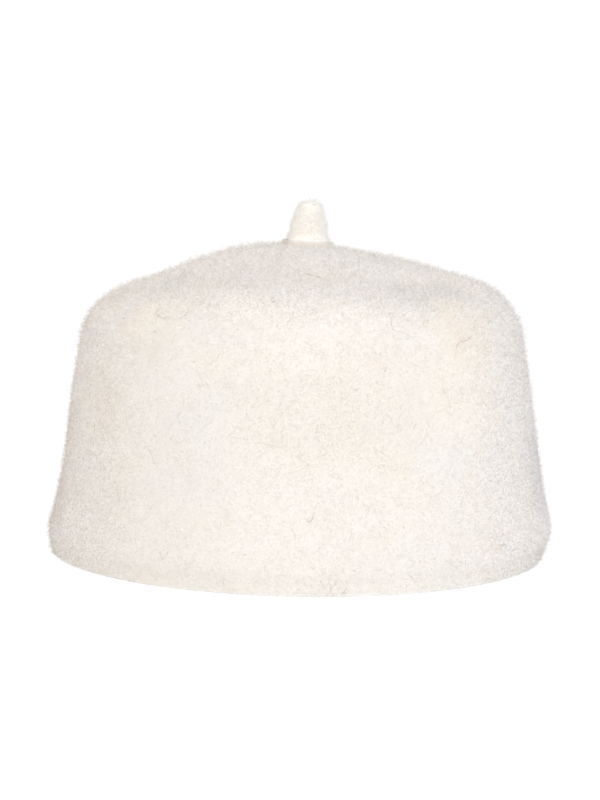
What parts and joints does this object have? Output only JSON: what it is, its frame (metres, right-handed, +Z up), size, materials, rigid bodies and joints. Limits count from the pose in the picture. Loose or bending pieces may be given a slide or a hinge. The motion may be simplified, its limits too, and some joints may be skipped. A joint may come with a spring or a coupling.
{
  "type": "felt hat",
  "caption": "Plain white wool felt cap with a softly flared rim, a round shoulder, a low mounded top and a small felt stub in its middle.",
  "frame": {"origin": "middle of the rim, on the surface that the cap stands on", "axes": "+Z up through the crown, -Y towards the front of the cap, +X to the right as seen from the front"},
  "size_m": [0.1895, 0.1902, 0.1305],
  "materials": {
    "white_felt": "matte, fuzzy wool felt",
    "cream_felt": "matte, fuzzy wool felt"
  },
  "bodies": {
    "root": {"crown": "white_felt", "nub": "cream_felt"}
  },
  "joints": []
}
